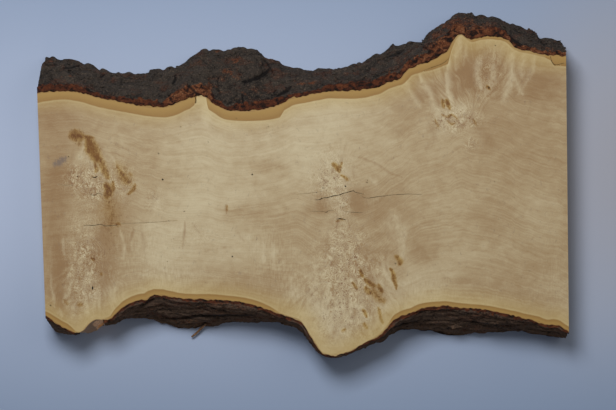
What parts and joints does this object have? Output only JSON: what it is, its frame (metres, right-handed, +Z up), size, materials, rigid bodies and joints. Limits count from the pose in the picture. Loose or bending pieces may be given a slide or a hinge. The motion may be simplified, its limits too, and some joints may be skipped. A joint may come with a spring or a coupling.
{
  "type": "maple burl slab",
  "caption": "Live-edge slab of maple burl, sawn flat on both faces and crosscut at both ends, with rough bark on its two long edges, that lies flat as a blank or board.",
  "frame": {"origin": "bottom centre of the box: under the middle of the slab, on the surface it lies on", "axes": "+X along the slab's length, +Y across it towards the edge with the tall burl bump, +Z up, square to the sawn faces"},
  "size_m": [0.533, 0.3502, 0.05],
  "materials": {
    "maple_wood": "sawn and dry, unfinished, pale tan with burl figure",
    "bark": "rough weathered bark, dark grey-brown with red-brown torn edges"
  },
  "bodies": {
    "root": {"burl_wood": "maple_wood", "upper_bark": "bark", "lower_bark": "bark", "corner_bark": "bark"}
  },
  "joints": []
}
